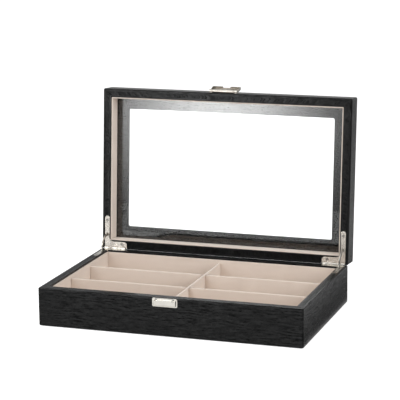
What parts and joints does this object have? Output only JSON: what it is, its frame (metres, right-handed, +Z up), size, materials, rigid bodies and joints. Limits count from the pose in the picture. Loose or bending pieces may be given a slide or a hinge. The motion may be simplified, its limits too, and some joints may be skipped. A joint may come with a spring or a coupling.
{
  "type": "cufflink display box",
  "caption": "Black leatherette display box with a hinged glazed lid, a lined tray of long open compartments, stop hinges and a front clasp.",
  "frame": {"origin": "centre of the underside of the closed lower part, on the surface it stands on", "axes": "+X to the right along the front, +Y to the back where the hinges are, +Z up"},
  "size_m": [0.33, 0.2546, 0.262],
  "materials": {
    "leatherette": "black, embossed with fine wavy grain, satin",
    "lining": "beige, short pile, matt",
    "felt": "black felt",
    "board": "raw fibreboard",
    "glass": "clear, polished",
    "hardware": "nickel plated steel, polished"
  },
  "bodies": {
    "base": {"base_felt": "felt", "bottom_board": "board", "front_board": "board", "back_board": "board", "left_board": "board", "right_board": "board", "body_covering": "leatherette", "floor_lining": "lining", "front_lining": "lining", "back_lining": "lining", "left_lining": "lining", "right_lining": "lining", "centre_divider": "lining", "front_cross_divider": "lining", "rear_cross_divider": "lining", "left_body_leaf": "hardware", "right_body_leaf": "hardware", "body_leaf_screws": "hardware", "hinge_pins": "hardware", "catch_plate": "hardware", "catch_screws": "hardware"},
    "lid": {"lid_front_board": "board", "lid_back_board": "board", "lid_left_board": "board", "lid_right_board": "board", "window_frame": "board", "lid_covering": "leatherette", "glass_pane": "glass", "lid_front_lining": "lining", "lid_back_lining": "lining", "lid_left_lining": "lining", "lid_right_lining": "lining", "left_lid_leaf": "hardware", "right_lid_leaf": "hardware", "lid_leaf_screws": "hardware", "clasp_plate": "hardware", "clasp_screws": "hardware", "clasp_pin": "hardware"},
    "clasp": {"clasp_flap": "hardware"},
    "left_arm": {"left_stop_arm": "hardware"},
    "right_arm": {"right_stop_arm": "hardware"}
  },
  "joints": [
    {"name": "lid_hinge", "type": "hinge", "parent": "base", "child": "lid", "pos_m": [0, 0.1039, 0.0482], "axis": [1, 0, 0], "range_deg": [0, 94.5]},
    {"name": "clasp_flap_hinge", "type": "hinge", "parent": "lid", "child": "clasp", "pos_m": [-0.003, 0.12283, 0.25816], "axis": [1, 0, 0], "range_deg": [0, 166]},
    {"name": "left_arm_turn", "type": "hinge", "parent": "base", "child": "left_arm", "pos_m": [-0.1582, 0.1039, 0.0482], "axis": [1, 0, 0], "range_deg": [0, 47.25]},
    {"name": "right_arm_turn", "type": "hinge", "parent": "base", "child": "right_arm", "pos_m": [0.1582, 0.1039, 0.0482], "axis": [1, 0, 0], "range_deg": [0, 47.25]}
  ],
  "couplings": [
    {"joint": "left_arm_turn", "follows": "lid_hinge", "ratio": 0.5},
    {"joint": "right_arm_turn", "follows": "lid_hinge", "ratio": 0.5}
  ]
}
